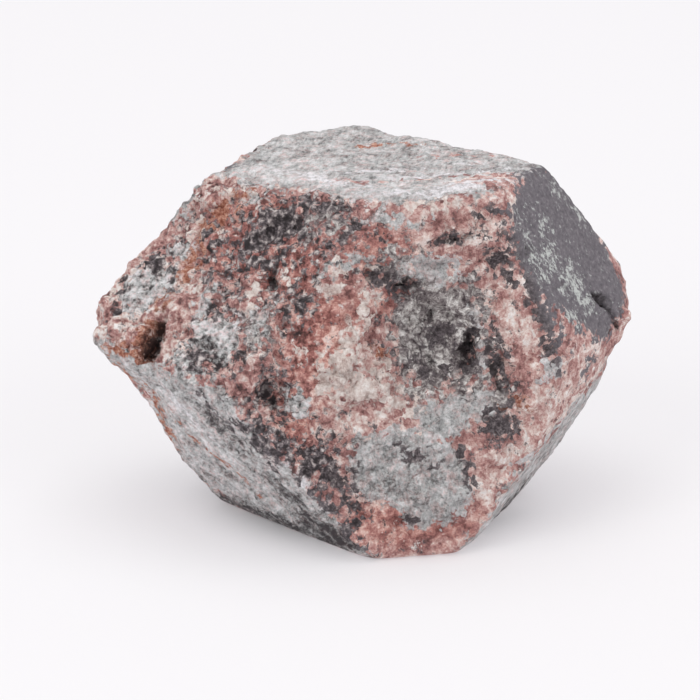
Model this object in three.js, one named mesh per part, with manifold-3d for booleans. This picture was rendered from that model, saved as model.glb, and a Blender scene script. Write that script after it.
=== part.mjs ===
// Garnet in rock: one uneven rhombic dodecahedron, the form in which garnet grows. It was broken out of mica
// schist, which still coats it, so its corners are worn and its front is a rough fracture. It is one solid piece
// that lies on one of its own crystal faces.
import * as THREE from 'three';
import Module from 'manifold-3d';
import { ImprovedNoise } from 'three/addons/math/ImprovedNoise.js';
import { TessellateModifier } from 'three/addons/modifiers/TessellateModifier.js';
import { mergeVertices } from 'three/addons/utils/BufferGeometryUtils.js';

// Driving dimensions, in millimetres. The heart is the crystal's centre, and the origin while it is cut.
const HEART_HEIGHT = 19.5;
const BLOCK_SIDE = 100;

// The surface is divided until no side of a triangle is longer than GRAIN_STEP, in at most MOST_ROUNDS rounds.
// Points nearer than SAME_PLACE count as one.
const GRAIN_STEP = 3.2;
const MOST_ROUNDS = 24;
const SAME_PLACE = 0.001;

// The crystal's faces. azimuth turns from the front (0) towards the right (90), and elevation is up from level,
// both in degrees. distance is from the heart to the face, and roughness is the height of its bumps.
const FACES = [
  { azimuth: 180, elevation: -90, distance: HEART_HEIGHT, roughness: 0 }, // base, which it rests on
  { azimuth: -50, elevation: 87, distance: 19.8, roughness: 0.25 }, // top
  { azimuth: 13, elevation: 9, distance: 18.8, roughness: 0.85 }, // front, broken rough
  { azimuth: -167, elevation: 6, distance: 19.3, roughness: 0.4 }, // back
  { azimuth: 60, elevation: 22, distance: 25.9, roughness: 0.12 }, // upper right, smooth
  { azimuth: 70, elevation: -31, distance: 25.2, roughness: 0.2 }, // lower right
  { azimuth: -36, elevation: 39, distance: 20.6, roughness: 0.9 }, // upper left, broken rough
  { azimuth: -49, elevation: -34, distance: 21.8, roughness: 0.25 }, // lower left
  { azimuth: 135, elevation: 38, distance: 23.4, roughness: 0.3 }, // upper back right
  { azimuth: 138, elevation: -32, distance: 22.9, roughness: 0.3 }, // lower back right
  { azimuth: -112, elevation: 36, distance: 23, roughness: 0.55 }, // upper back left
  { azimuth: -112, elevation: -28, distance: 21.7, roughness: 0.35 }, // lower back left
  { azimuth: 62, elevation: -12, distance: 26.8, roughness: 0.5 }, // chip along the front right edge
  { azimuth: 100, elevation: -8, distance: 29.6, roughness: 0.6 }, // chip off the right corner
  { azimuth: -85, elevation: 0, distance: 29.4, roughness: 0.6 }, // chip off the left corner
];

// Edges are worn back by EDGE_WEAR, over a strip EDGE_REACH wide on each side. Corners, where more faces meet,
// are worn back by up to MOST_WEAR times as much.
const EDGE_WEAR = 0.45;
const EDGE_REACH = 1.3;
const MOST_WEAR = 1.5;

// Bumps come in two sizes. Each has a length from crest to crest and a share of the face's roughness.
const BUMPS = [
  { length: 9, share: 0.9 },
  { length: 4.2, share: 0.7 },
];

// Hollows (height under zero) and lumps (over zero), each with its place, measured from the heart, and the
// distance over which it dies away.
const RELIEFS = [
  { place: [8, -17, 4], reach: 6.5, height: -2.8 }, // broad hollow in the front
  { place: [12, -16, 3], reach: 2.4, height: -1.8 }, // pit at the hollow's right end
  { place: [-10, -22, -1], reach: 2.2, height: -1.5 }, // pit beside the front left edge
  { place: [-22, -15, 3], reach: 2.2, height: -1.3 }, // crack behind the left corner
  { place: [1, -18, 7], reach: 3.5, height: 0.8 }, // head of the pale ridge
  { place: [-3, -20, 1], reach: 4, height: 0.7 }, // foot of the pale ridge
  { place: [-27, -11, 3], reach: 4.5, height: 1.2 }, // nose on the left corner
  { place: [-25, -8, -6], reach: 4.5, height: -1.4 }, // undercut below the nose
  { place: [29, -2, 4], reach: 3.5, height: 1 }, // lump on the right corner
  { place: [6, -19, -10], reach: 7, height: 0.5 }, // swell low on the front
];

const STONE = new THREE.MeshStandardMaterial({ color: 0x9a8681, roughness: 0.85, metalness: 0 });

const UP = new THREE.Vector3(0, 0, 1);
const noise = new ImprovedNoise();

// The unit vector that points out of a face.
function outward({ azimuth, elevation }) {
  const turn = THREE.MathUtils.degToRad(azimuth);
  const lift = THREE.MathUtils.degToRad(elevation);
  return new THREE.Vector3(Math.sin(turn) * Math.cos(lift), -Math.cos(turn) * Math.cos(lift), Math.sin(lift));
}

// A three.js geometry as a solid that can be cut.
function toSolid(wasm, geometry) {
  const shell = geometry.clone().deleteAttribute('normal').deleteAttribute('uv');
  const merged = mergeVertices(shell);
  return new wasm.Manifold(new wasm.Mesh({
    numProp: 3,
    vertProperties: new Float32Array(merged.attributes.position.array),
    triVerts: new Uint32Array(merged.index.array),
  }));
}

// A solid as a three.js geometry.
function toGeometry(solid) {
  const { vertProperties, triVerts } = solid.getMesh();
  const geometry = new THREE.BufferGeometry();
  geometry.setAttribute('position', new THREE.BufferAttribute(vertProperties, 3));
  geometry.setIndex(new THREE.BufferAttribute(triVerts, 1));
  return geometry;
}

// A block that covers everything beyond one face.
function waste(face) {
  const normal = outward(face);
  const block = new THREE.BoxGeometry(2 * BLOCK_SIDE, 2 * BLOCK_SIDE, BLOCK_SIDE);
  block.applyQuaternion(new THREE.Quaternion().setFromUnitVectors(UP, normal));
  const centre = normal.multiplyScalar(face.distance + BLOCK_SIDE / 2);
  return block.translate(centre.x, centre.y, centre.z);
}

// The sharp crystal, cut face by face from a block.
async function cutCrystal() {
  const wasm = await Module();
  wasm.setup();
  let crystal = toSolid(wasm, new THREE.BoxGeometry(BLOCK_SIDE, BLOCK_SIDE, BLOCK_SIDE));
  for (const face of FACES) crystal = crystal.subtract(toSolid(wasm, waste(face)));
  return toGeometry(crystal);
}

// How close a point is to a face: 1 on it, falling to 0 over the worn strip.
function closeness(point, face) {
  const gap = face.distance - point.dot(outward(face));
  return Math.exp(-((gap / EDGE_REACH) ** 2));
}

// How far a point of the crystal's surface moves outwards.
function relief(point) {
  const shares = FACES.map((face) => closeness(point, face));
  const total = shares.reduce((sum, share) => sum + share, 0);
  const roughness = FACES.reduce((sum, face, i) => sum + face.roughness * shares[i], 0) / total;
  let height = -EDGE_WEAR * Math.min(total - 1, MOST_WEAR);
  for (const { length, share } of BUMPS) {
    height += roughness * share * noise.noise(point.x / length, point.y / length, point.z / length);
  }
  for (const { place, reach, height: rise } of RELIEFS) {
    const gap = point.distanceTo(new THREE.Vector3(...place));
    height += rise * Math.exp(-((gap / reach) ** 2));
  }
  return height;
}

// Moves each point of the sharp crystal out or in by its relief. Points of the base stay level.
function weather(geometry) {
  const { position, normal } = geometry.attributes;
  const point = new THREE.Vector3();
  const way = new THREE.Vector3();
  for (let i = 0; i < position.count; i += 1) {
    point.fromBufferAttribute(position, i);
    const height = relief(point);
    const onBase = point.z + HEART_HEIGHT < SAME_PLACE;
    point.addScaledVector(way.fromBufferAttribute(normal, i), height);
    if (onBase) point.z = -HEART_HEIGHT;
    point.z = Math.max(point.z, -HEART_HEIGHT);
    position.setXYZ(i, point.x, point.y, point.z);
  }
}

// Puts the origin in the middle of the crystal's footprint, level with the base.
function standOnOrigin(geometry) {
  geometry.computeBoundingBox();
  const { min, max } = geometry.boundingBox;
  geometry.translate(-(min.x + max.x) / 2, -(min.y + max.y) / 2, -min.z);
}

async function garnetInRock() {
  const sharp = await cutCrystal();
  const fine = new TessellateModifier(GRAIN_STEP, MOST_ROUNDS).modify(sharp);
  fine.deleteAttribute('normal');
  const geometry = mergeVertices(fine, SAME_PLACE);
  geometry.computeVertexNormals();
  weather(geometry);
  standOnOrigin(geometry);
  geometry.computeVertexNormals();
  const crystal = new THREE.Mesh(geometry, STONE);
  crystal.name = 'garnet_crystal';
  return crystal;
}

const group = new THREE.Group();
group.add(await garnetInRock());

export default group;
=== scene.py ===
"""Garnet in rock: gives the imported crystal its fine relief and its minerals, on a pale studio stage."""

import math

import bpy
import numpy as np
from bpy.props import FloatProperty, FloatVectorProperty, IntProperty, PointerProperty
from mathutils import Color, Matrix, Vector, noise


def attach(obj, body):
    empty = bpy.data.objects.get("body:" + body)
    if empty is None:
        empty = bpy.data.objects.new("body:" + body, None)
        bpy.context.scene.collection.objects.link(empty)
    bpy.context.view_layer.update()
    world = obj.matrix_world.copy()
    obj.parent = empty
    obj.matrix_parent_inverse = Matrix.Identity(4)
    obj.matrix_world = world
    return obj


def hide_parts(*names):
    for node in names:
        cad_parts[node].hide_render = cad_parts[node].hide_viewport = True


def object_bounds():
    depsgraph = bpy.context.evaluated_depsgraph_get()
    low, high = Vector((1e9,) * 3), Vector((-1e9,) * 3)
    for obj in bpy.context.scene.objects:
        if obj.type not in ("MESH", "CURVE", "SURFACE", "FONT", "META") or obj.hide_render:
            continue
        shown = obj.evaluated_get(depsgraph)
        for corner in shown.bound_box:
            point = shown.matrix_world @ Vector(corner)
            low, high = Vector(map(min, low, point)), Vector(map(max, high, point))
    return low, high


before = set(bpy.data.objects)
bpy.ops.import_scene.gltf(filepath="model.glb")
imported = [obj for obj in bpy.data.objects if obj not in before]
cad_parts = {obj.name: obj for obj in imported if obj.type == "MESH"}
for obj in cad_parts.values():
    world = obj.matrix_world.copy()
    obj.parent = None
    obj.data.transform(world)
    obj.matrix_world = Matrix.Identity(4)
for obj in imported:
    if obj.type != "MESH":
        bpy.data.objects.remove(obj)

bl_info = {
    "name": "Garnet in rock",
    "version": (1, 0, 0),
    "blender": (4, 5, 0),
    "location": "View3D > Sidebar > Garnet",
    "description": "Builds a garnet crystal with its coat of schist, and a pale studio stage",
    "category": "Add Mesh",
}

NODE = "garnet_crystal"
CAD_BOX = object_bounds()
MM = 0.001

# The crystal's faces. Each has the azimuth that it looks in, from the front towards the right, its
# elevation, how rough it is from 0 to 1, and the turn of its schist's streaks from level.
FACES = {
    "base": (180, -90, 0.0, 0),
    "top": (0, 90, 0.25, 80),
    "front": (13, 9, 1.0, 60),
    "back": (-167, 6, 0.35, 50),
    "right": (60, 22, 0.1, -66),
    "under_right": (70, -31, 0.2, 30),
    "shoulder": (-36, 39, 1.0, 40),
    "left": (-49, -34, 0.25, 36),
    "back_right": (135, 38, 0.3, -30),
    "low_back_right": (138, -32, 0.3, 30),
    "back_left": (-112, 36, 0.6, -50),
    "low_back_left": (-112, -28, 0.35, 40),
    "right_chip": (62, -12, 0.5, 30),
    "right_tip": (100, -8, 0.45, 60),
    "left_tip": (-85, 0, 0.8, 0),
}
# The middle of the crystal, from which places on its faces are measured, in millimetres.
HEART = (0, 0, 20)
# The least cosine between two directions that count as the same.
SAME_WAY = 0.97
# How square the corners of a spot are: 2 is an ellipse, and more is squarer.
SQUARENESS = 2.5
# How far a spot runs on over the edge of its face, in millimetres, for most of them and for the mica.
SLACK = 0.4
MICA_SLACK = 1.0
# The greatest distance from a spot's border that is stored, in millimetres.
FARTHEST = 3.0
# How far a face's roughness reaches past its edges, in millimetres.
ROUGH_REACH = 0.8
# How much lower the grains are in the quartz, as a share, and how far past its borders, in millimetres.
QUARTZ_SMOOTHNESS = 0.8
QUARTZ_REACH = 0.6
# How far up from the base the relief comes in, in millimetres.
BASE_FADE = 1.5
# How far past the foot's radius the edge that it rests on is still worn, as a share of that radius.
FOOT_OVERRUN = 0.2
# How many times the new mesh is smoothed all over, and at its foot.
MESH_SMOOTHING = 6
FOOT_SMOOTHING = 120
# How many steps a vertex group's weights have.
WEIGHT_STEPS = 50
# How far the relief may stand out of the CAD box, in millimetres.
BOX_MARGIN = 0.25
# Points closer than this are merged, in millimetres.
MERGE_DISTANCE = 0.001
# The point that the camera looks at, in millimetres.
LOOK_AT = (-1.5, 0, 17.6)
# How far from the crystal's middle the floor's glow starts and is full, in metres.
GLOW_FADE = (0.007, 0.022)

# Where each mineral shows, by face. A spot has its place to the right and up, half its width and height,
# and its turn, in millimetres and degrees on the face, from the point that is straight out from the heart.
CHLORITE = {
    "front": [
        (-0.8, -12.9, 6, 4.3, 0), (2.5, -14.8, 4.7, 4.8, 20), (4.8, -7.8, 3.2, 2.5, 10),
        (3.4, 8.6, 3.2, 1.7, 0), (17.4, -2.8, 2.2, 1.2, 20), (-11.6, -5.2, 1.1, 1.3, 0),
        (-1.6, 14.4, 3, 0.7, -10), (-6, 9.6, 1.8, 0.5, 20), (9.4, -1, 0.8, 3, 10), (9, -7, 1.4, 2, 0),
        (13.1, -15.1, 2.2, 0.9, 44),
    ],
    "shoulder": [
        (-14, -7.4, 4, 2.8, 30), (-2.5, -11.8, 3, 2.8, 20), (1.8, -8.6, 0.9, 3, -10),
        (-4.5, -15.4, 3, 1, 0), (-2.5, 7, 3, 0.5, 30), (-12.6, -2.4, 1.4, 0.8, 0),
        (-5.8, -8.6, 1, 2.4, 0),
    ],
    "left": [(0, 2, 30, 30, 0)],
    "top": [(0, 3, 30, 30, 0)],
    "under_right": [(3, -5, 18, 10.7, 30)],
    "right_chip": [(0, -4.3, 9, 1.4, 22)],
    "back": [(-6, 5, 11, 12, 20), (0, -4, 10, 7, -30), (-10, -9, 5, 4, 0), (8, 9, 4, 3, 40)],
    "back_right": [(0, 0, 30, 30, 0)],
    "low_back_right": [(2, 2, 30, 30, 0)],
    "back_left": [(4, 0, 7, 5, 30), (-3, -4, 6, 3.4, 10), (9, 6, 3, 4, 0)],
    "low_back_left": [(-2, 0, 30, 30, 0)],
}
MICA = {
    "front": [
        (-6.6, 12.7, 1.8, 0.9, 10), (-2.2, 8.3, 1.2, 0.7, 0), (0.7, 6.4, 1.2, 0.7, 0),
        (-14.7, -4.2, 0.8, 1.1, 20), (-13.6, -9, 0.8, 2.4, 25), (-10, -11.2, 2.4, 1.2, 30),
        (10.7, -9, 1.8, 1.5, 0), (10.6, -2.5, 0.8, 3, 10), (7.8, -0.5, 1.2, 2.3, -10),
        (11.8, 9, 1.9, 1.2, -20), (6.4, 11.8, 2, 0.35, 10), (0.8, -11.4, 1.4, 0.45, -20),
        (2.4, -12.2, 0.5, 0.9, 30), (-6, -13.3, 0.5, 0.8, 0), (6.7, -13.6, 0.4, 1.2, 20),
        (-5.5, -16.8, 1.2, 0.8, -30), (0.2, -18.2, 0.7, 0.4, 0), (4.6, 1, 2, 1, 30),
        (3, -2.4, 1.8, 0.8, -20), (-12.6, 4.6, 0.6, 1.6, 0), (15.6, 4.6, 1.3, 7.4, 19),
        (11.4, 14.6, 2.2, 0.5, 5), (-7.8, -13.6, 1, 2.4, 45),
    ],
    "shoulder": [
        (-0.9, 2.6, 3.4, 2.5, 30), (-3.6, -0.2, 2.4, 1.6, 30), (2.8, 2.2, 1.4, 0.9, 0),
        (-0.8, -1.8, 2.2, 0.9, 20), (-5.6, 2.8, 0.8, 0.5, 40), (-15.3, -4.4, 0.9, 1, 0),
        (-4.4, -8.4, 0.7, 1, 0), (-17.4, -9.6, 0.3, 1.3, 20), (-11.5, -5.6, 0.4, 1.2, 30),
        (-3.4, -14.8, 0.9, 0.8, 0), (4.6, 5.4, 2, 0.8, 0), (1.2, -12.6, 0.6, 1.5, 0),
        (-8.6, -0.6, 0.5, 0.9, 20), (-6.8, -4.6, 0.8, 0.8, 0), (5.8, -6, 0.8, 1.2, 0),
    ],
    "left": [
        (7.8, 10.6, 2, 0.9, -60), (9.9, 7.2, 2.8, 1.4, -70), (9.6, 4, 1.2, 0.9, -20),
        (13.9, 0.2, 2.6, 0.7, -70), (15.8, -5, 1.6, 0.7, -60), (4.6, 10.4, 1.4, 0.3, -60),
        (-4, -7.6, 2, 0.5, -10),
    ],
    "right": [(5.2, 3.4, 8.8, 8, 0), (7.2, -1.4, 7.6, 6.8, -41)],
    "right_chip": [(4.6, 3.4, 1.6, 1, 60)],
    "back": [(6, -6, 4, 2, 30), (-9, 8, 2, 1, 0)],
    "back_left": [(-6, -4, 2, 1, 20), (4, 6, 1.5, 1, 0)],
}
QUARTZ = {
    "front": [
        (-3.9, 5.2, 0.8, 2.2, -25), (-5.8, 1.4, 1.1, 2.8, -25), (-7.4, -2, 1.6, 2.2, -25),
        (-5, -4.2, 3.6, 1.3, -12), (-0.4, -6, 3.6, 0.8, -14), (-7.4, 8, 0.6, 1.4, -30),
        (3.6, 16, 2.4, 0.6, 5), (13.8, -15, 0.5, 3.4, -42), (-11, 0.6, 0.8, 0.5, 0),
        (-2.6, -1.8, 0.7, 0.6, 0), (-8.6, -1, 0.7, 0.6, 0),
    ],
    "shoulder": [
        (-10, 0.4, 1.4, 0.8, 0), (-10.4, 4.4, 1.8, 0.5, 20), (-7.6, -6.6, 0.7, 0.4, 0),
        (0.3, -6.4, 0.3, 0.8, 20), (-16.4, -6.6, 2, 0.6, 40), (2.6, -3.4, 0.6, 0.6, 0),
    ],
    "right": [(-1.7, 8.2, 0.5, 1.1, -20)],
    "right_chip": [(-0.4, -2.2, 7, 0.35, 22)],
    "back": [(3, 11, 2, 1, 20)],
}
FLAKE = {
    "front": [
        (4.2, 1.6, 5.4, 6.4, 0), (2, -5, 3, 1.4, 0), (8, -5.6, 2.6, 1.6, 0), (-0.4, 9.4, 2.4, 1.6, 0),
    ],
    "shoulder": [(2, -9, 1, 2.4, 0), (4.4, 3.6, 2.4, 1, 0)],
}
RUST = {
    "front": [(-2.2, -0.4, 0.5, 0.4, 0), (12.6, -6.4, 0.6, 0.4, 0)],
    "shoulder": [
        (-10.4, -3.4, 0.8, 3.2, -10), (-11.6, -15.4, 1, 0.9, 0), (-10.9, -13, 0.9, 2.8, 0),
        (-8.8, 2.6, 0.9, 2, -30), (-12.6, -16, 2, 0.7, 0),
    ],
    "left": [
        (-7.6, 10.4, 1, 0.6, -40), (-3.2, 3, 1.6, 0.2, -42), (-11.6, 12.4, 1.2, 2.4, -10),
        (-10.4, 4, 0.5, 3, -10),
    ],
    "top": [(2.6, 7.6, 1.2, 0.3, 0)],
    "back_left": [(0, -6, 2, 0.6, 30)],
}
CHALK = {
    "top": [
        (9.6, -12, 3.4, 1.2, 14), (-5, -5.4, 4, 0.8, -40), (3.4, -12.4, 2, 0.5, -10),
        (12.4, -9.6, 2, 0.4, 14), (0.6, -3.4, 3, 0.2, 5), (7, -6, 4, 0.3, 8),
    ],
    "left": [(-2, 9, 2, 0.5, -60), (12.6, 2.6, 2, 0.3, -66)],
    "back_right": [(0, 6, 6, 0.6, -20)],
}
# Painted shade: the dark bottoms of the deep holes and cracks.
PIT_SHADE = {
    "front": [
        (7.9, -0.5, 0.55, 1.6, -12), (1, 6.7, 0.9, 0.3, 0), (-14.3, -4.6, 0.25, 0.9, 20),
        (10.5, -3.4, 0.15, 1.6, 10), (6.4, 11.8, 1.2, 0.15, 10), (4, 3.4, 0.5, 0.3, 40),
        (3.6, -1.6, 0.3, 0.6, 20),
    ],
    "shoulder": [(-10.3, -13.4, 0.9, 2.9, 0), (1, -3.4, 0.2, 0.9, 20)],
    "right": [(9.2, -5, 1.2, 0.6, -35), (10.6, -7.4, 0.2, 2.2, 32), (-1.6, 3.4, 0.5, 0.4, 0)],
}
# Where garnet comes through the schist.
GARNET = {
    "top": [
        (13.6, -9, 3.6, 2.2, 24), (13, 1.5, 1.4, 0.2, 0), (-1.6, -7.6, 2, 0.5, -30),
        (3, -7.4, 2.4, 0.2, 5),
    ],
    "left": [(-12, 8, 2, 0.6, -42), (-4, -8.4, 3, 0.3, -30)],
    "right": [(14.8, -3.6, 2.2, 5.4, 0), (8, -9.6, 2.4, 1, -20), (1.4, 10.8, 3, 0.4, 0)],
    "back_right": [(-6, 4, 3, 2, 0), (5, -6, 2, 2, 0)],
    "low_back_left": [(6, 5, 4, 2, 0)],
    "low_back_right": [(-5, 5, 4, 1.6, 0)],
}
# Where the garnet and the schist are paler, and where the garnet is darker and redder.
PALE = {
    "left": [(-3, 6, 6, 2.4, -60)],
    "front": [
        (11.8, 3.6, 4, 5.4, 0), (10, 13.4, 5, 1.8, 5), (15, -7, 3, 6, -15),
        (10.6, -15.4, 3.4, 4.4, -35), (-9.4, -7, 3, 2, -20), (-4.4, -7.4, 3, 1.4, 0),
        (17, 2, 2.6, 5, 0), (-6, 0, 3, 3, 0),
    ],
    "shoulder": [(-14, -13.4, 5, 3.4, 20), (-14, -6, 5, 5, 0), (-4, -12, 5, 4, 0)],
    "right_chip": [(0, 0, 9, 9, 0)],
    "top": [(5, -10, 10, 2.4, 12), (-6, -6, 7, 2, -40)],
}
DEEP = {
    "front": [
        (-9.4, 2, 4, 6, 0), (-3, 11, 4, 2, 0), (-1, 5.2, 2.2, 1.6, 0), (0, -19, 7, 2.4, 0),
        (-12, -7, 2, 4, 0), (-5.6, 2.8, 0.9, 3, -30),
    ],
    "shoulder": [(-4, 1, 6, 5, 20), (3, -2, 4, 4, 0)],
}
# Where dark grains of mica crowd the garnet.
PEPPER = {
    "front": [
        (4.2, 1, 8, 8, 0), (-5, 12, 7, 3.4, 0), (-13, -6, 3, 8, 20), (11, -4, 1.6, 6, 10),
        (12, 11.6, 4, 1, -10), (10, -9.6, 2.4, 2.4, 0), (-5.6, -10.6, 3, 1, -20),
    ],
    "shoulder": [(0, 0, 10, 10, 0), (-13, -1, 5, 3, 30), (-2, -12, 5, 5, 0)],
    "back": [(0, 0, 30, 30, 0)],
    "right_tip": [(0, 0, 20, 20, 0)],
    "back_left": [(-3, 0, 8, 8, 0)],
}
# Where pale flecks lie thick on the mica: partly pale grains, partly painted glints.
FLECKS_AND_GLINTS = {
    "right": [
        (2.2, 5.6, 1.6, 1.4, 0), (1.6, 1.2, 2.2, 2, -50), (4.4, -1.8, 3, 2, -40),
        (6.6, -4.6, 1.8, 1.2, 0), (2, -5.6, 2, 1.6, 0), (-1.2, 3.4, 0.8, 2.4, 0),
        (9.5, 6.4, 2.4, 0.5, -50),
    ],
}
# Where the grains stand out most sharply. On the left face it also darkens the mica to near-black, as
# painted shade.
CRISP_AND_SHADE = {
    "shoulder": [(0, 0, 30, 30, 0)],
    "front": [(-13, -2, 6, 16, 0)],
    "left": [(0, 2, 30, 30, 0)],
}
# Painted shade: where the schist is darkened, on the faces that look down and low on the others.
PAINTED_SHADE = {
    "left": [
        (4, -8.4, 13, 2.4, 0), (12.4, -5.4, 5, 3, -20), (9, -0.6, 3, 1.6, -50), (4, 8, 3, 1.6, -60),
    ],
    "under_right": [(-4, -8, 8, 2.4, 30)],
    "shoulder": [(-3, -14, 3, 2, 0), (-15.2, -4.4, 1.4, 1.2, 0)],
    "low_back_left": [(0, -6, 8, 4, 0)],
    "back": [(4, -10, 9, 4, 0)],
}

# Hollows carved in the surface, by face: a spot as above, with its depth in millimetres.
HOLLOWS = {
    "front": [
        (7.9, -0.4, 0.8, 2, -12, 1.6), (0.8, 6.6, 1.6, 1.1, 0, 0.9), (-2.2, 8.4, 1.4, 0.9, 0, 0.8),
        (-14.5, -4.2, 1.6, 2.2, 20, 0.8), (10.7, -3, 0.9, 2.6, 10, 0.8), (6.4, 11.8, 2, 0.5, 10, 0.7),
        (11.4, 9, 1.6, 1, -20, 0.5), (-6.4, 12.6, 1.8, 1, 10, 0.5), (3.4, 2, 3, 2.4, 20, 0.7),
        (-6.4, -13.2, 0.5, 0.8, 0, 0.3), (0.8, -11.4, 1.3, 0.4, -20, 0.3), (-13, 3.6, 0.6, 1.6, 0, 0.6),
        (10.6, -9, 1.6, 1.4, 0, 0.3), (-5.4, -16.8, 1.2, 0.8, -30, 0.5), (-9.4, -2.4, 0.8, 0.6, 0, 0.5),
    ],
    "shoulder": [
        (-10.2, -13.2, 0.7, 3, -3, 1.5), (-4.4, -8.4, 0.7, 0.9, 0, 0.5), (1, -3.4, 0.5, 1.4, 20, 0.7),
        (-0.6, 2.4, 2.4, 1.8, 30, 0.5),
    ],
    "right": [
        (9.2, -5, 1.4, 0.6, -35, 1.0), (10.6, -7.4, 0.35, 2.4, 32, 0.7), (3, -1.8, 0.3, 1.2, 30, 0.4),
    ],
    "left": [(10, 7.6, 2.2, 0.9, -40, 0.4), (4, -4, 3, 0.5, -42, 0.3)],
    "back": [(4, -5, 3, 1.6, 30, 0.9), (-8, 7, 2, 1, 0, 0.6)],
    "back_left": [(-5, -3, 2, 1, 20, 0.8)],
}
# Lumps that stand proud, in the same way, with their height.
LUMPS = {
    "front": [
        (-5.6, 1.6, 1.2, 5.2, -25, 0.7), (-8.6, -1, 0.8, 0.7, 0, 0.5), (-2.6, -1.8, 0.8, 0.7, 0, 0.6),
        (-4.8, -4, 4, 2, -10, 0.5), (0, -13.6, 6.4, 5.2, 0, 0.35), (10, 12.6, 5, 2, 5, 0.5),
        (15, -8, 3, 6, -15, 0.4),
    ],
    "shoulder": [(-13.9, -13.8, 3, 2, 0, 0.9), (-11, 4.4, 2.4, 1.6, 0, 0.8)],
    "right": [(13, -8, 0.8, 0.8, 0, 0.9)],
}


def srgb(code):
    """A colour given as a hex code, in the scene's linear light."""
    parts = [int(code[i:i + 2], 16) / 255 for i in (1, 3, 5)]
    return (*Color(parts).from_srgb_to_scene_linear(), 1.0)


def face_axes(face):
    """The unit vectors out of a face, level to its right, and up along it."""
    azimuth, elevation = (math.radians(angle) for angle in FACES[face][:2])
    out = Vector((
        math.sin(azimuth) * math.cos(elevation),
        -math.cos(azimuth) * math.cos(elevation),
        math.sin(elevation),
    ))
    right = Vector((math.cos(azimuth), math.sin(azimuth), 0))
    return out, right, out.cross(right)


class Chart:
    """Every point of the crystal as it lies on one face, in mm: right, up, and the gap out to the face.

    make_charts measures the gaps from the outermost face, and adds the margin, which is how far a point is
    from the edge of the face. It is more than zero on the face.
    """

    def __init__(self, face, distance, points):
        out, right, up = (np.array(axis) for axis in face_axes(face))
        self.right = points @ right
        self.up = points @ up
        self.gap = distance - points @ out

    def inside(self, spot, slack):
        """How far each point is inside an oval spot on the face, in mm. It is negative outside."""
        right, up, half_width, half_height, turn = spot
        cosine, sine = math.cos(math.radians(turn)), math.sin(math.radians(turn))
        across = self.right - right
        along = self.up - up
        wide = np.abs(across * cosine + along * sine) / half_width
        high = np.abs(along * cosine - across * sine) / half_height
        reach = (wide ** SQUARENESS + high ** SQUARENESS) ** (1 / SQUARENESS)
        return np.minimum((1 - reach) * min(half_width, half_height), self.margin + slack)


def face_distances(mesh):
    """How far each face lies from the heart, in mm: the mean over the polygons that look its way."""
    normals, centres = (np.empty(len(mesh.polygons) * 3) for _ in range(2))
    areas = np.empty(len(mesh.polygons))
    for name, values in (("normal", normals), ("center", centres), ("area", areas)):
        mesh.polygons.foreach_get(name, values)
    normals = normals.reshape(-1, 3)
    centres = centres.reshape(-1, 3) / MM - np.array(HEART)
    distances = {}
    for face in FACES:
        out = np.array(face_axes(face)[0])
        looking = normals @ out > SAME_WAY
        distances[face] = np.average(centres[looking] @ out, weights=areas[looking])
    return distances


def make_charts(distances, points):
    """One chart for each face."""
    charts = {face: Chart(face, distance, points) for face, distance in distances.items()}
    least, second = np.sort([chart.gap for chart in charts.values()], axis=0)[:2]
    for chart in charts.values():
        chart.gap = chart.gap - least
        chart.margin = np.where(chart.gap > 0, -chart.gap, second - least)
    return charts


def read_points(mesh):
    """The mesh's points, in mm from the heart."""
    places = np.empty(len(mesh.vertices) * 3)
    mesh.vertices.foreach_get("co", places)
    return places.reshape(-1, 3) / MM - np.array(HEART)


def write_points(mesh, points):
    """Puts points, in mm from the heart, back into the mesh."""
    mesh.vertices.foreach_set("co", ((points + np.array(HEART)) * MM).ravel())
    mesh.update()


def read_normals(mesh):
    """The mesh's normals at its points."""
    normals = np.empty(len(mesh.vertices) * 3)
    mesh.vertex_normals.foreach_get("vector", normals)
    return normals.reshape(-1, 3)


def fractal(points, length, octaves, seed):
    """Cloudy noise, about -1 to 1, with its broadest waves length mm long."""
    start = Vector((seed * 17.3, seed * 5.1, seed * 9.7))
    return np.array([noise.fractal(Vector(p) / length + start, 1.0, 2.0, octaves) for p in points])


def select_only(piece):
    """Makes one object the only selected and the active one."""
    bpy.ops.object.select_all(action="DESELECT")
    piece.select_set(True)
    bpy.context.view_layer.objects.active = piece


def apply_modifier(piece, kind, **values):
    """Adds a modifier with the given values and applies it."""
    modifier = piece.modifiers.new(kind.lower(), kind)
    for key, value in values.items():
        setattr(modifier, key, value)
    select_only(piece)
    bpy.ops.object.modifier_apply(modifier=modifier.name)


def copy_of_node(name, new_name):
    """A copy of a CAD node without its marks, with its loose triangles merged."""
    select_only(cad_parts[name])
    bpy.ops.object.duplicate()
    piece = bpy.context.view_layer.objects.active
    piece.name = new_name
    piece.data.name = new_name
    piece.parent = None
    for key in list(piece.keys()):
        del piece[key]
    bpy.ops.object.mode_set(mode="EDIT")
    bpy.ops.mesh.select_all(action="SELECT")
    bpy.ops.mesh.remove_doubles(threshold=MERGE_DISTANCE * MM)
    bpy.ops.mesh.normals_make_consistent(inside=False)
    bpy.ops.object.mode_set(mode="OBJECT")
    piece.data.materials.clear()
    return piece


def grain_texture(name, kind, size, **values):
    """A texture for displacement, with grains of the given size."""
    texture = bpy.data.textures.new(name, kind)
    texture.noise_scale = size
    for key, value in values.items():
        setattr(texture, key, value)
    return texture


def nearest_face(charts):
    """For each point, the number of the face that it lies on."""
    return np.argmin(np.stack([chart.gap for chart in charts.values()]), axis=0)


def paint_weights(piece, name, weights):
    """Stores one weight for each point in a vertex group."""
    group = piece.vertex_groups.new(name=name)
    steps = np.round(weights * WEIGHT_STEPS).astype(int)
    for step in range(1, WEIGHT_STEPS + 1):
        members = np.nonzero(steps == step)[0]
        if len(members):
            group.add(members.tolist(), step / WEIGHT_STEPS, "REPLACE")


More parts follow.
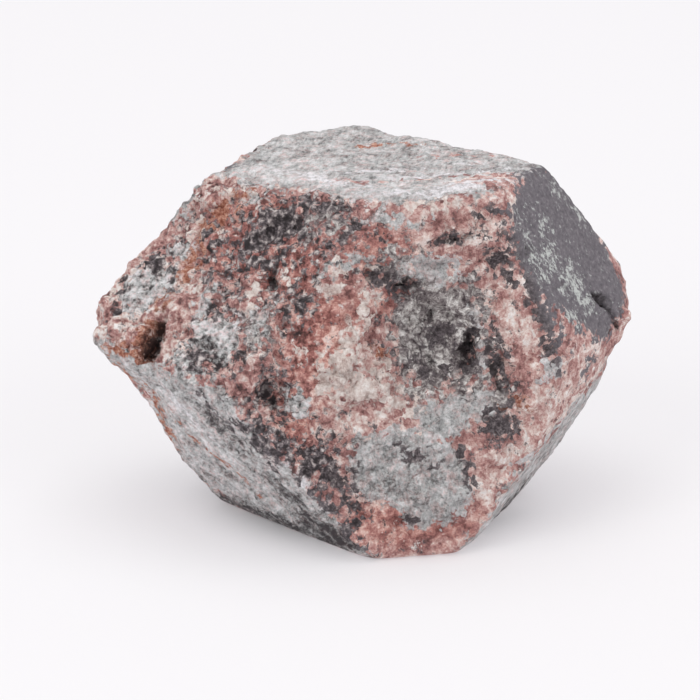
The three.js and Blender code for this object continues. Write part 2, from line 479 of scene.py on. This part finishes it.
def store(mesh, name, values):
    """Stores one number for each point as an attribute."""
    attribute = mesh.attributes.new(name, "FLOAT", "POINT")
    attribute.data.foreach_set("value", values.astype(np.float32))


def spread(charts, spots_by_face, slack):
    """How far each point is inside the nearest of the spots, in mm. It is negative outside."""
    best = np.full(len(charts["front"].gap), -FARTHEST)
    for face, spots in spots_by_face.items():
        for spot in spots:
            best = np.maximum(best, charts[face].inside(spot, slack))
    return np.clip(best, -FARTHEST, FARTHEST)


def roughness_of(charts):
    """How rough each point is, from its own face and the faces it borders on."""
    near = np.exp(-np.stack([chart.gap for chart in charts.values()]) / ROUGH_REACH)
    rough = np.array([FACES[face][2] for face in charts])[:, None]
    return (near * rough).sum(axis=0) / near.sum(axis=0)


def carve(points, normals, charts):
    """Sinks the hollows and raises the lumps, with borders that wander and walls that steepen inwards."""
    steepness, overrun, curve = 1.6, 0.3, 1.3
    broad = fractal(points, 1.8, 2, 3)
    small = fractal(points, 0.7, 2, 5)
    wander = 0.5 * broad + 0.35 * small
    move = np.zeros(len(points))
    for sign, features in ((-1, HOLLOWS), (1, LUMPS)):
        for face, places in features.items():
            for *spot, height in places:
                half_width, half_height = spot[2:4]
                depth = charts[face].inside(spot, SLACK) / min(half_width, half_height) + wander
                move += sign * height * np.clip(depth * steepness + overrun, 0, 1) ** curve
    return points + normals * move[:, None]


def hold_in_box(points):
    """Keeps the points within a small margin of the CAD box, and above its base."""
    low = np.array(CAD_BOX[0]) / MM - np.array(HEART)
    high = np.array(CAD_BOX[1]) / MM - np.array(HEART)
    points = np.minimum(np.maximum(points, low - BOX_MARGIN), high + BOX_MARGIN)
    points[:, 2] = np.maximum(points[:, 2], low[2])
    return points


def bedding(points, charts):
    """Each point turned so that the first number runs along the streaks of its face's schist."""
    home = nearest_face(charts)
    turned = points.copy()
    for number, face in enumerate(charts):
        out, right, up = (np.array(axis) for axis in face_axes(face))
        turn = math.radians(FACES[face][3])
        along = right * math.cos(turn) + up * math.sin(turn)
        across = np.cross(out, along)
        here = home == number
        turned[here] = points[here] @ np.stack([along, across, out], axis=1)
    return turned


def shape_crystal(piece, distances, settings):
    """Gives the plain crystal its fine relief."""
    apply_modifier(piece, "REMESH", mode="VOXEL", voxel_size=settings.mesh_step, use_smooth_shade=True)
    apply_modifier(piece, "SMOOTH", factor=0.5, iterations=MESH_SMOOTHING)
    mesh = piece.data
    points = read_points(mesh)
    charts = make_charts(distances, points)
    rough = roughness_of(charts)
    away_from_base = np.clip((points[:, 2] - points[:, 2].min()) / BASE_FADE, 0, 1)
    foot = np.clip(1 + FOOT_OVERRUN - np.abs(charts["base"].margin) / settings.foot_radius * MM, 0, 1)
    paint_weights(piece, "foot", foot)
    apply_modifier(piece, "SMOOTH", factor=0.5, iterations=FOOT_SMOOTHING, vertex_group="foot")
    paint_weights(piece, "broken", rough * away_from_base)
    quartz = np.clip(spread(charts, QUARTZ, SLACK) + QUARTZ_REACH, 0, 1)
    paint_weights(piece, "grainy", rough * away_from_base * (1 - QUARTZ_SMOOTHNESS * quartz))
    paint_weights(piece, "all", away_from_base)
    lumps = grain_texture("lumps", "CLOUDS", settings.lump_size, noise_depth=2)
    crumbs = grain_texture("crumbs", "CLOUDS", settings.crumb_size, noise_depth=4)
    grains = grain_texture("grains", "VORONOI", settings.grain_size, distance_metric="DISTANCE")
    fine = grain_texture("fine", "CLOUDS", settings.fine_size, noise_depth=2)
    for texture, group, height in (
        (lumps, "broken", settings.lump_height),
        (crumbs, "broken", settings.crumb_height),
        (grains, "grainy", -settings.grain_height),
        (fine, "all", settings.fine_height),
    ):
        apply_modifier(
            piece, "DISPLACE", texture=texture, vertex_group=group, strength=height, mid_level=0.5,
            texture_coords="LOCAL",
        )
    points = carve(read_points(mesh), read_normals(mesh), charts)
    write_points(mesh, hold_in_box(points))
    piece.vertex_groups.clear()
    apply_modifier(piece, "TRIANGULATE")
    apply_modifier(piece, "DECIMATE", ratio=min(settings.most_triangles / len(mesh.polygons), 1))


def paint_minerals(piece, distances):
    """Stores where each mineral lies, as distances in mm that the material breaks up."""
    mesh = piece.data
    points = read_points(mesh)
    charts = make_charts(distances, points)
    for name, spots in (
        ("chlorite", CHLORITE), ("mica", MICA), ("quartz", QUARTZ), ("flake", FLAKE), ("rust", RUST),
        ("chalk", CHALK), ("pit_shade", PIT_SHADE), ("garnet", GARNET), ("pale", PALE), ("deep", DEEP),
        ("pepper", PEPPER), ("painted_shade", PAINTED_SHADE), ("flecks", FLECKS_AND_GLINTS), ("crisp_and_shade", CRISP_AND_SHADE),
    ):
        store(mesh, name, spread(charts, spots, MICA_SLACK if name == "mica" else SLACK))
    store(mesh, "broken", roughness_of(charts))
    turned = bedding(points, charts)
    attribute = mesh.attributes.new("bedding", "FLOAT_VECTOR", "POINT")
    attribute.data.foreach_set("vector", turned.astype(np.float32).ravel())


class Tree:
    """A node tree that is built with short calls."""

    def __init__(self, tree):
        self.tree = tree

    def add(self, kind, inputs=None, **values):
        """Adds a node, sets its values, and fills its sockets with numbers, colours or other sockets."""
        node = self.tree.nodes.new(kind)
        for key, value in values.items():
            setattr(node, key, value)
        for key, value in (inputs or {}).items():
            self.fill(node.inputs[key], value)
        return node

    def fill(self, socket, value):
        """Sets a socket to a value, or links another socket to it."""
        if isinstance(value, bpy.types.NodeSocket):
            self.tree.links.new(value, socket)
        else:
            socket.default_value = value

    def math(self, operation, *values, clamp=False):
        """The result of a calculation on numbers and sockets."""
        node = self.add("ShaderNodeMath", operation=operation, use_clamp=clamp)
        for socket, value in zip(node.inputs, values):
            self.fill(socket, value)
        return node.outputs[0]

    def total(self, *parts, start=0.0):
        """The sum of the parts, each a socket and its weight, added to a number or socket."""
        for socket, weight in parts:
            start = self.math("MULTIPLY_ADD", socket, weight, start)
        return start

    def ramp(self, value, stops):
        """Turns a number into a colour, by stops that each have a position and a hex code."""
        node = self.add("ShaderNodeValToRGB", {"Fac": value})
        elements = node.color_ramp.elements
        for element, (position, code) in zip(elements, (stops[0], stops[-1])):
            element.position = position
            element.color = srgb(code)
        for position, code in stops[1:-1]:
            elements.new(position).color = srgb(code)
        return node.outputs["Color"]

    def step(self, value, low, high):
        """0 below low, 1 above high, and smooth between."""
        node = self.add("ShaderNodeMapRange", {"Value": value, "From Min": low, "From Max": high})
        node.interpolation_type = "SMOOTHSTEP"
        return node.outputs["Result"]

    def blend(self, share, first, second, how="MIX"):
        """Lays a share of the second colour over the first."""
        inputs = {"Fac": share, "Color1": first, "Color2": second}
        return self.add("ShaderNodeMixRGB", inputs, blend_type=how).outputs["Color"]

    def noise(self, vector, length, detail=3.0, rough=0.55, distortion=0.0):
        """Noise from 0 to 1 with waves length mm long."""
        node = self.add("ShaderNodeTexNoise", {
            "Vector": vector, "Scale": 1 / length, "Detail": detail, "Roughness": rough,
            "Distortion": distortion,
        })
        return node.outputs["Fac"]

    def attribute(self, name):
        """The node that reads an attribute of the mesh."""
        return self.add("ShaderNodeAttribute", attribute_name=name)

    def vector(self, operation, inputs):
        """The result of a calculation on vectors."""
        return self.add("ShaderNodeVectorMath", inputs, operation=operation).outputs[0]


def new_group(name, inputs, outputs):
    """An empty node group with named sockets, and its tree, input node and output node."""
    group = bpy.data.node_groups.new(name, "ShaderNodeTree")
    for socket, kind, default in inputs:
        made = group.interface.new_socket(socket, in_out="INPUT", socket_type=kind)
        if default is not None:
            made.default_value = default
    for socket, kind in outputs:
        group.interface.new_socket(socket, in_out="OUTPUT", socket_type=kind)
    tree = Tree(group)
    return group, tree, tree.add("NodeGroupInput").outputs, tree.add("NodeGroupOutput").inputs


def grain_group():
    """Grains with wandering borders: three random values for each, and its rounded height."""
    group, tree, given, result = new_group(
        "Grains",
        [
            ("Vector", "NodeSocketVector", None), ("Size", "NodeSocketFloat", 0.8),
            ("Wander", "NodeSocketFloat", 0.5),
        ],
        [
            ("Value", "NodeSocketFloat"), ("Second", "NodeSocketFloat"), ("Third", "NodeSocketFloat"),
            ("Height", "NodeSocketFloat"),
        ],
    )
    scale = tree.math("DIVIDE", 1.0, given["Size"])
    drift = tree.add("ShaderNodeTexNoise", {
        "Vector": given["Vector"], "Scale": scale, "Detail": 4.0, "Roughness": 0.65,
    })
    centred = tree.vector("SUBTRACT", {0: drift.outputs["Color"], 1: (0.5, 0.5, 0.5)})
    reach = tree.math("MULTIPLY", given["Size"], given["Wander"])
    moved = tree.vector("SCALE", {0: centred, "Scale": reach})
    place = tree.vector("ADD", {0: given["Vector"], 1: moved})
    cells = tree.add("ShaderNodeTexVoronoi", {"Vector": place, "Scale": scale, "Detail": 0.0})
    values = tree.add("ShaderNodeSeparateColor", {"Color": cells.outputs["Color"]}).outputs
    for socket, channel in (("Value", "Red"), ("Second", "Green"), ("Third", "Blue")):
        tree.fill(result[socket], values[channel])
    tree.fill(result["Height"], tree.math("SUBTRACT", 1.0, cells.outputs["Distance"], clamp=True))
    return group


def ragged_group():
    """Turns a distance in mm into a mask whose border wanders and frays grain by grain."""
    group, tree, given, result = new_group(
        "Ragged edge",
        [
            ("Distance", "NodeSocketFloat", 0.0), ("Vector", "NodeSocketVector", None),
            ("Grain", "NodeSocketFloat", 0.5), ("Scatter", "NodeSocketFloat", 3.0),
            ("Wander", "NodeSocketFloat", 1.6), ("Crumble", "NodeSocketFloat", 1.2),
            ("Fray", "NodeSocketFloat", 1.5), ("Softness", "NodeSocketFloat", 0.15),
        ],
        [("Mask", "NodeSocketFloat")],
    )
    broad = tree.math("SUBTRACT", tree.noise(given["Vector"], 3.2, 2.0), 0.5)
    small = tree.math("SUBTRACT", tree.noise(given["Vector"], 0.9, 5.0, 0.7), 0.5)
    grain = tree.math("SUBTRACT", given["Grain"], 0.5)
    distance = tree.math("MAXIMUM", given["Distance"], tree.math("MULTIPLY", given["Scatter"], -1.0))
    moved = tree.total(
        (broad, given["Wander"]), (small, given["Crumble"]), (grain, given["Fray"]), start=distance,
    )
    low = tree.math("MULTIPLY", given["Softness"], -1.0)
    tree.fill(result["Mask"], tree.step(moved, low, given["Softness"]))
    return group


def streak_group():
    """Streaks that run along the bedding, from 0 to 1."""
    group, tree, given, result = new_group(
        "Streaks",
        [
            ("Bedding", "NodeSocketVector", None), ("Width", "NodeSocketFloat", 0.5),
            ("Stretch", "NodeSocketFloat", 5.0),
        ],
        [("Value", "NodeSocketFloat")],
    )
    parts = tree.add("ShaderNodeSeparateXYZ", {"Vector": given["Bedding"]}).outputs
    long = tree.math("DIVIDE", parts["X"], given["Stretch"])
    place = tree.add("ShaderNodeCombineXYZ", {"X": long, "Y": parts["Y"], "Z": parts["Z"]}).outputs[0]
    scale = tree.math("DIVIDE", 1.0, given["Width"])
    value = tree.add("ShaderNodeTexNoise", {
        "Vector": place, "Scale": scale, "Detail": 6.0, "Roughness": 0.75, "Distortion": 0.2,
    })
    tree.fill(result["Value"], value.outputs["Fac"])
    return group


class RockMaterial:
    """The crystal's one material, put together mineral by mineral."""

    def __init__(self, name, settings):
        self.settings = settings
        self.material = bpy.data.materials.new(name)
        self.material.use_nodes = True
        self.material.node_tree.nodes.clear()
        self.tree = Tree(self.material.node_tree)
        where = self.tree.add("ShaderNodeTexCoord").outputs["Object"]
        self.place = self.tree.vector("SCALE", {0: where, "Scale": 1 / MM})
        self.bedding = self.tree.attribute("bedding").outputs["Vector"]
        self.groups = {"grain": grain_group(), "ragged": ragged_group(), "streak": streak_group()}
        self.grains = self.group("grain", {"Vector": self.place, "Size": 0.75, "Wander": 1.1})
        self.crisp_and_shade = self.mask("crisp_and_shade", softness=1.6)

    def group(self, name, inputs):
        """Places one of the shared groups and gives its outputs."""
        node = self.tree.add("ShaderNodeGroup", node_tree=self.groups[name])
        for key, value in inputs.items():
            self.tree.fill(node.inputs[key], value)
        return node.outputs

    def mask(self, name, grain="Value", scatter=3.0, wander=1.6, crumble=2.0, fray=1.5, softness=0.12):
        """The ragged area of one mineral."""
        distance = self.tree.attribute(name).outputs["Fac"]
        return self.group("ragged", {
            "Distance": distance, "Vector": self.place, "Grain": self.grains[grain], "Scatter": scatter,
            "Wander": wander, "Crumble": crumble, "Fray": fray, "Softness": softness,
        })["Mask"]

    def sharpened(self, value):
        """The same noise with more contrast where the grains stand out."""
        tree = self.tree
        grit = tree.math("SUBTRACT", tree.noise(self.place, 0.75, 2.5, 0.55), 0.5)
        extra = tree.math("MULTIPLY", grit, self.crisp_and_shade)
        return tree.total((extra, 1.1), start=value)

    def garnet(self):
        """Pink to red-brown grains with white and dark ones among them."""
        tree = self.tree
        specks = self.sharpened(tree.noise(self.place, 0.5, 6.0, 0.85))
        blots = tree.noise(self.place, 1.9, 6.0, 0.75)
        pale = self.mask("pale", softness=1.6)
        deep = self.mask("deep", softness=1.6)
        value = tree.total(
            (self.grains["Value"], 0.16), (specks, 0.85), (blots, 1.4), (pale, 0.1), (deep, -0.03),
            start=-0.65,
        )
        colour = tree.ramp(value, [
            (0.14, "#2e2628"), (0.28, "#5f4341"), (0.41, "#8f6461"), (0.53, "#b58883"),
            (0.64, "#ceaca5"), (0.74, "#e4d2cb"), (0.88, "#f6f0ee"),
        ])
        colour = tree.blend(deep, colour, (*self.settings.garnet_tint, 1), "MULTIPLY")
        white = self.clumps((40, 11, -23), "Third", specks)
        colour = tree.blend(tree.step(white, 1.24, 1.34), colour, (*self.settings.white_grains, 1))
        dark = self.clumps((-17, 35, 8), "Second", specks)
        dark = tree.total((self.mask("pepper", softness=1.6), 0.13), start=dark)
        return tree.blend(tree.step(dark, 1.22, 1.3), colour, self.dark_mica())

    def clumps(self, shift, grain, specks):
        """High where grains of one kind clump together. Each kind has a shift of its own."""
        tree = self.tree
        place = tree.vector("ADD", {0: self.place, 1: shift})
        blots = tree.noise(place, 1.6, 6.0, 0.75)
        return tree.total((self.grains[grain], 0.16), (specks, 0.8), (blots, 1.2))

    def chlorite(self):
        """Grey schist: mottled on the front, finely streaked on the grown faces."""
        tree = self.tree
        fine = self.sharpened(tree.noise(self.place, 0.4, 6.0, 0.85))
        clouds = tree.noise(self.place, 2.0, 6.0, 0.7)
        streaks = self.group("streak", {"Bedding": self.bedding, "Width": 0.42, "Stretch": 2.6})["Value"]
        broken = tree.attribute("broken").outputs["Fac"]
        grain = tree.blend(tree.step(broken, 0.4, 0.8), tree.blend(0.25, streaks, fine), fine)
        # Painted shade: the schist darkened on the faces that look down and low on the others.
        painted_shade = self.mask("painted_shade", crumble=3.0, softness=1.4)
        pale = self.mask("pale", crumble=3.0, softness=1.4)
        value = tree.total((grain, 1.35), (clouds, 1.0), (painted_shade, -0.26), (pale, 0.07), start=-0.64)
        colour = tree.ramp(value, [
            (0.2, "#3b3639"), (0.32, "#6b6969"), (0.43, "#989898"), (0.54, "#b6b6b6"),
            (0.68, "#d3d2d3"), (0.84, "#ebe8ea"),
        ])
        warm = tree.noise(self.place, 1.1, 6.0, 0.85, 0.4)
        pinkish = tree.blend(1.0, colour, (*self.settings.schist_tint, 1), "MULTIPLY")
        return tree.blend(tree.step(warm, 0.46, 0.66), colour, pinkish)

    def dark_mica(self):
        """Near-black mica with paler specks, as it lies among the garnet."""
        fine = self.sharpened(self.tree.noise(self.place, 0.45, 6.0, 0.8))
        return self.tree.ramp(fine, [
            (0.36, "#2b2527"), (0.46, "#463e41"), (0.56, "#6d6467"), (0.64, "#9c9190"),
            (0.74, "#d4cbc8"),
        ])

    def mica(self):
        """Mica: near-black on the front, and on the left face as painted shade; smooth grey with pale
        flecks, partly painted glints, on the grown face.
        """
        tree = self.tree
        fine = tree.noise(self.place, 0.5, 6.0, 0.75)
        smooth = tree.ramp(fine, [
            (0.3, "#4b4549"), (0.46, "#656066"), (0.58, "#756f74"), (0.74, "#a8a2a6"),
        ])
        # Pale flecks along the streaks: partly pale grains, partly painted glints.
        flecks = self.group("streak", {"Bedding": self.bedding, "Width": 0.34, "Stretch": 1.7})["Value"]
        patchy = tree.noise(self.place, 1.2, 4.0, 0.7)
        thick = self.mask("flecks", crumble=3.0, softness=1.2)
        level = tree.total((patchy, 0.6), (thick, 0.15), start=flecks)
        smooth = tree.blend(tree.step(level, 0.9, 1.02), smooth, (*self.settings.mica_flecks_and_glints, 1))
        # Near-black mica on the broken faces, and on the left face too as painted shade.
        broken = tree.attribute("broken").outputs["Fac"]
        broken_and_shaded = tree.math("MAXIMUM", tree.step(broken, 0.4, 0.8), self.crisp_and_shade)
        return tree.blend(broken_and_shaded, smooth, self.dark_mica())

    def flake(self):
        """Crumpled flakes of mica, pale edges over dark."""
        tree = self.tree
        folds = tree.noise(self.place, 1.4, 6.0, 0.75, 0.9)
        crumbs = tree.noise(self.place, 0.4, 5.0, 0.8)
        value = tree.total((folds, 0.65), (crumbs, 0.35))
        return tree.ramp(value, [
            (0.36, "#2b2325"), (0.42, "#51474a"), (0.48, "#857c7c"), (0.53, "#b4aeab"),
            (0.6, "#ece8e6"),
        ])

    def quartz(self):
        """Cream quartz with warm stains."""
        tree = self.tree
        fine = tree.noise(self.place, 0.9, 6.0, 0.85)
        return tree.ramp(fine, [
            (0.28, "#5f4f4e"), (0.38, "#a89089"), (0.48, "#d3c2bb"), (0.58, "#eae1dc"),
            (0.7, "#faf7f5"),
        ])

    def rust(self):
        """Rust-brown stain."""
        tree = self.tree
        fine = tree.noise(self.place, 0.5, 6.0, 0.85)
        return tree.ramp(fine, [
            (0.32, "#47251d"), (0.44, "#894e3e"), (0.54, "#ba826d"), (0.68, "#dfc4b6"),
        ])

    def chalk(self):
        """Whitish bruised ridges."""
        tree = self.tree
        fine = tree.noise(self.place, 0.5, 6.0, 0.8)
        return tree.ramp(fine, [
            (0.36, "#a39fa2"), (0.46, "#cfcccf"), (0.57, "#f0ecf0"),
        ])

    def relief(self):
        """The fine bumps, which the light picks out."""
        tree = self.tree
        fine = tree.noise(self.place, 0.35, 5.0, 0.75)
        folds = tree.noise(self.place, 1.0, 5.0, 0.7, 0.25)
        streaks = self.group("streak", {"Bedding": self.bedding, "Width": 0.4, "Stretch": 2.6})["Value"]
        broken = tree.attribute("broken").outputs["Fac"]
        bumps = tree.total((self.grains["Height"], 0.4), (folds, 1.8), start=fine)
        amount = tree.total((broken, 0.75), start=0.25)
        return tree.total((streaks, 0.25), start=tree.math("MULTIPLY", bumps, amount))

    def build(self):
        """Lays each mineral over the garnet in turn and shades the result."""
        tree = self.tree
        garnet = self.garnet()
        dark = self.mask("mica", "Third", scatter=1.9, wander=1.4, crumble=3.2, fray=1.6, softness=0.2)
        rust = self.mask("rust", "Value", wander=1.2, crumble=5, fray=1.6, softness=0.4)
        # Painted shade in the bottoms of the holes, tinted brown where they lie in the rust.
        hole_shade = tree.blend(rust, (*self.settings.holes, 1), (*self.settings.rusty_hole_shade, 1))
        colour = garnet
        for mask, layer in (
            (self.mask("flake", "Second", wander=2.4, crumble=3.4, fray=2.6, softness=0.4), self.flake()),
            (
                self.mask("quartz", "Second", scatter=2.1, wander=1.4, crumble=3, fray=2, softness=0.3),
                self.quartz(),
            ),
            (self.mask("chlorite", "Third", scatter=2.0, crumble=2.4, fray=1.4), self.chlorite()),
            (self.mask("garnet", "Third", crumble=3, fray=2), garnet),
            (self.mask("chalk", "Value", crumble=4, fray=1, softness=0.6), self.chalk()),
            (rust, self.rust()),
            (dark, self.mica()),
            # Painted shade in the bottoms of the holes.
            (self.mask("pit_shade", "Value", wander=0.8, crumble=1.6, fray=0.4, softness=0.4), hole_shade),
        ):
            colour = tree.blend(mask, colour, layer)
        roughness = tree.total((dark, -0.25), start=0.8)
        bump = tree.add("ShaderNodeBump", {"Height": self.relief(), "Strength": 0.85, "Distance": 0.3 * MM})
        shader = tree.add("ShaderNodeBsdfPrincipled", {
            "Base Color": colour, "Roughness": roughness, "Normal": bump.outputs["Normal"],
            "Specular IOR Level": 0.4,
        })
        tree.add("ShaderNodeOutputMaterial", {"Surface": shader.outputs["BSDF"]}, is_active_output=True)
        return self.material


def length_property(name, description, millimetres):
    """A length that a user can change."""
    return FloatProperty(
        name=name, description=description, default=millimetres * MM, unit="LENGTH", precision=5,
    )


def colour_property(name, description, code):
    """A colour that a user can change, with its default as a hex code."""
    return FloatVectorProperty(
        name=name, description=description, default=srgb(code)[:3], size=3, subtype="COLOR", min=0, max=1,
    )


class GarnetCrystalSettings(bpy.types.PropertyGroup):
    """Sizes of the crystal's fine relief, and the colours that tint its minerals."""

    mesh_step: length_property("Mesh step", "Size of the crystal's mesh cells", 0.25)
    most_triangles: IntProperty(
        name="Triangles", description="Most triangles that the crystal may have", default=190000, min=10000,
    )
    foot_radius: length_property("Foot radius", "How far the edge that it rests on is worn round", 2.4)
    lump_size: length_property("Lump size", "Width of the broken faces' lumps", 4.2)
    lump_height: length_property("Lump height", "Height of the broken faces' lumps", 1.8)
    crumb_size: length_property("Crumb size", "Width of the broken faces' crumbs", 1.7)
    crumb_height: length_property("Crumb height", "Height of the broken faces' crumbs", 2.0)
    grain_size: length_property("Grain size", "Width of the broken faces' grains", 1.15)
    grain_height: length_property("Grain height", "Height of the broken faces' grains", 0.5)
    fine_size: length_property("Fine grain size", "Width of the grain on every face", 0.7)
    fine_height: length_property("Fine grain height", "Height of the grain on every face", 0.16)
    garnet_tint: colour_property("Garnet tint", "Tint of the deepest garnet", "#ffe9e3")
    white_grains: colour_property("White grains", "White grains among the garnet", "#e9e2df")
    schist_tint: colour_property("Schist tint", "Tint of the warmer parts of the schist", "#ffe1de")
    # Partly pale grains, partly painted glints.
    mica_flecks_and_glints: colour_property("Mica flecks", "Pale flecks on the smooth mica", "#c3c6c3")
    # Painted shade: the dark bottoms of the holes, plain and in the rust.
    holes: colour_property("Holes", "Bottoms of the holes", "#21181a")
    rusty_hole_shade: colour_property("Rusty holes", "Bottoms of the holes in the rust", "#331c18")


class GarnetStageSettings(bpy.types.PropertyGroup):
    """The stage, its camera and its lights."""

    floor_colour: FloatVectorProperty(
        name="Floor", description="Colour of the floor", default=(0.5, 0.5, 0.505), size=3, subtype="COLOR",
        min=0, max=1,
    )
    floor_glow: FloatProperty(
        name="Floor glow", description="Light that the floor gives off around the crystal", default=0.38,
        min=0, max=1,
    )
    camera_distance: FloatProperty(
        name="Camera distance", description="From the camera to the crystal", default=0.4, unit="LENGTH",
    )
    camera_elevation: FloatProperty(
        name="Camera elevation", description="How far the camera looks down", default=math.radians(16.5),
        subtype="ANGLE",
    )
    camera_lens: FloatProperty(
        name="Lens", description="Focal length of the camera, in mm", default=181.6, min=1, max=1000,
    )
    overhead_power: FloatProperty(
        name="Overhead light", description="Power of the light overhead", default=13.6, min=0, unit="POWER",
    )
    left_power: FloatProperty(
        name="Left light", description="Power of the light on the left", default=7.4, min=0, unit="POWER",
    )
    right_power: FloatProperty(
        name="Right light", description="Power of the light on the right", default=4.8, min=0, unit="POWER",
    )
    surround: FloatProperty(
        name="Surround", description="Strength of the light from all round", default=0.64, min=0, max=10,
    )


class GARNET_OT_crystal(bpy.types.Operator):
    """Build the garnet crystal over its CAD solid"""

    bl_idname = "garnet.crystal"
    bl_label = "Garnet crystal"

    def execute(self, context):
        piece = copy_of_node(NODE, "garnet_rock")
        distances = face_distances(piece.data)
        settings = context.scene.garnet_crystal
        shape_crystal(piece, distances, settings)
        paint_minerals(piece, distances)
        piece.data.materials.append(RockMaterial("garnet_in_schist", settings).build())
        select_only(piece)
        bpy.ops.object.shade_smooth()
        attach(piece, "root")
        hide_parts(NODE)
        return {"FINISHED"}


def add_softbox(name, place, size, power):
    """A square area light that looks at the crystal."""
    bpy.ops.object.light_add(type="AREA", location=place)
    light = bpy.context.view_layer.objects.active
    light.name = name
    light.data.shape = "SQUARE"
    light.data.size = size
    light.data.energy = power
    light.data.color = (0.97, 1, 0.97)
    way = Vector(HEART) * MM - Vector(place)
    light.rotation_euler = way.to_track_quat("-Z", "Y").to_euler()


def floor_material(colour, strength):
    """Matt and pale, with a glow that fades out close to the crystal so that its shadow stays."""
    material = bpy.data.materials.new("pale_floor")
    material.use_nodes = True
    shader = material.node_tree.nodes["Principled BSDF"]
    shader.inputs["Base Color"].default_value = (*colour, 1)
    shader.inputs["Roughness"].default_value = 0.9
    shader.inputs["Emission Color"].default_value = (1, 0.96, 1, 1)
    tree = Tree(material.node_tree)
    where = tree.add("ShaderNodeTexCoord").outputs["Object"]
    far = tree.add("ShaderNodeVectorMath", {0: where}, operation="LENGTH").outputs["Value"]
    glow = tree.math("MULTIPLY", tree.step(far, *GLOW_FADE), strength)
    tree.fill(shader.inputs["Emission Strength"], glow)
    return material


def lay_floor(settings):
    """The floor that the crystal rests on."""
    bpy.ops.mesh.primitive_plane_add(size=6, location=(0, 0, 0))
    floor = bpy.context.view_layer.objects.active
    floor.name = "floor"
    floor.data.materials.append(floor_material(settings.floor_colour, settings.floor_glow))


def aim_camera(settings):
    """The camera, which looks down at the crystal from the front."""
    target = Vector(LOOK_AT) * MM
    elevation = settings.camera_elevation
    outwards = Vector((0, -math.cos(elevation), math.sin(elevation)))
    place = target + settings.camera_distance * outwards
    bpy.ops.object.camera_add(location=place)
    camera = bpy.context.view_layer.objects.active
    camera.rotation_euler = (target - place).to_track_quat("-Z", "Y").to_euler()
    camera.data.lens = settings.camera_lens
    camera.data.sensor_width = 36
    camera.data.clip_start = 0.01
    bpy.context.scene.camera = camera


def light_surround(strength):
    """The pale surround that fills in the shadows."""
    world = bpy.context.scene.world or bpy.data.worlds.new("studio")
    bpy.context.scene.world = world
    world.use_nodes = True
    sky = world.node_tree.nodes["Background"]
    sky.inputs["Color"].default_value = (1, 0.97, 1, 1)
    sky.inputs["Strength"].default_value = strength


class GARNET_OT_stage(bpy.types.Operator):
    """Build the floor, the lights and the camera"""

    bl_idname = "garnet.stage"
    bl_label = "Stage"

    def execute(self, context):
        settings = context.scene.garnet_stage
        bpy.ops.object.select_all(action="DESELECT")
        lay_floor(settings)
        aim_camera(settings)
        add_softbox("overhead_softbox", (0.0, 0.1, 1.8), 1.8, settings.overhead_power)
        add_softbox("left_softbox", (-0.9, -1.1, 0.8), 0.9, settings.left_power)
        add_softbox("right_softbox", (0.9, -1.1, 0.8), 0.9, settings.right_power)
        light_surround(settings.surround)
        context.scene.view_settings.view_transform = "Standard"
        return {"FINISHED"}


class GARNET_PT_panel(bpy.types.Panel):
    """Lists the piece and the stage"""

    bl_label = "Garnet in rock"
    bl_idname = "GARNET_PT_panel"
    bl_space_type = "VIEW_3D"
    bl_region_type = "UI"
    bl_category = "Garnet"

    def draw(self, context):
        for operator, settings in (
            ("garnet.crystal", context.scene.garnet_crystal), ("garnet.stage", context.scene.garnet_stage),
        ):
            box = self.layout.box()
            for name in settings.__annotations__:
                box.prop(settings, name)
            box.operator(operator)


CLASSES = (
    GarnetCrystalSettings,
    GarnetStageSettings,
    GARNET_OT_crystal,
    GARNET_OT_stage,
    GARNET_PT_panel,
)


def register():
    for cls in CLASSES:
        bpy.utils.register_class(cls)
    bpy.types.Scene.garnet_crystal = PointerProperty(type=GarnetCrystalSettings)
    bpy.types.Scene.garnet_stage = PointerProperty(type=GarnetStageSettings)


def unregister():
    del bpy.types.Scene.garnet_stage
    del bpy.types.Scene.garnet_crystal
    for cls in reversed(CLASSES):
        bpy.utils.unregister_class(cls)


def main():
    register()
    bpy.ops.garnet.stage()
    bpy.ops.garnet.crystal()


if __name__ == "__main__":
    main()
